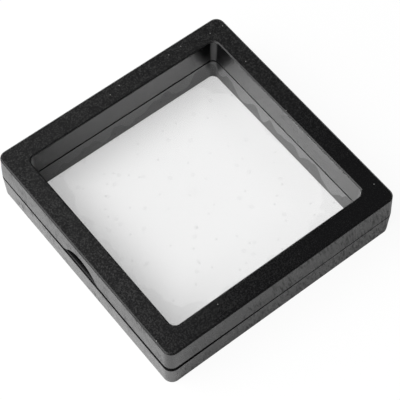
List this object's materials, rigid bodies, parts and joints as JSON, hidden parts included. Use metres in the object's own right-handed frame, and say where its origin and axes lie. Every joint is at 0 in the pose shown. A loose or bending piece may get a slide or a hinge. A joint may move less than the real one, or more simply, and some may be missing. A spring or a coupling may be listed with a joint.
{
  "type": "floating display box",
  "caption": "Hinged square display case. Shallow moulded frames, each with a clear elastic film, hold an object afloat between the films, and a thumb notch opens them.",
  "frame": {"origin": "middle of the bounding box of the closed box, on the plane of its rear face", "axes": "+X from the thumb notch to the hinge, +Y along the hinge axis, +Z from the rear face to the front face"},
  "size_m": [0.0935, 0.09, 0.02],
  "materials": {
    "frame": "black moulded plastic, fine spark-eroded grain on the faces and satin walls",
    "clamp_ring": "black moulded plastic, satin",
    "film": "clear elastic film, glossy",
    "hinge_pin": "drawn steel wire"
  },
  "bodies": {
    "rear_half": {"rear_frame": "frame", "rear_film": "film", "rear_clamp_ring": "clamp_ring", "left_hinge_pin": "hinge_pin", "right_hinge_pin": "hinge_pin"},
    "front_half": {"front_frame": "frame", "front_film": "film", "front_clamp_ring": "clamp_ring"}
  },
  "joints": [
    {"name": "lid_hinge", "type": "hinge", "parent": "rear_half", "child": "front_half", "pos_m": [0.04485, 0, 0.01], "axis": [0, 1, 0], "range_deg": [0, 180]}
  ]
}
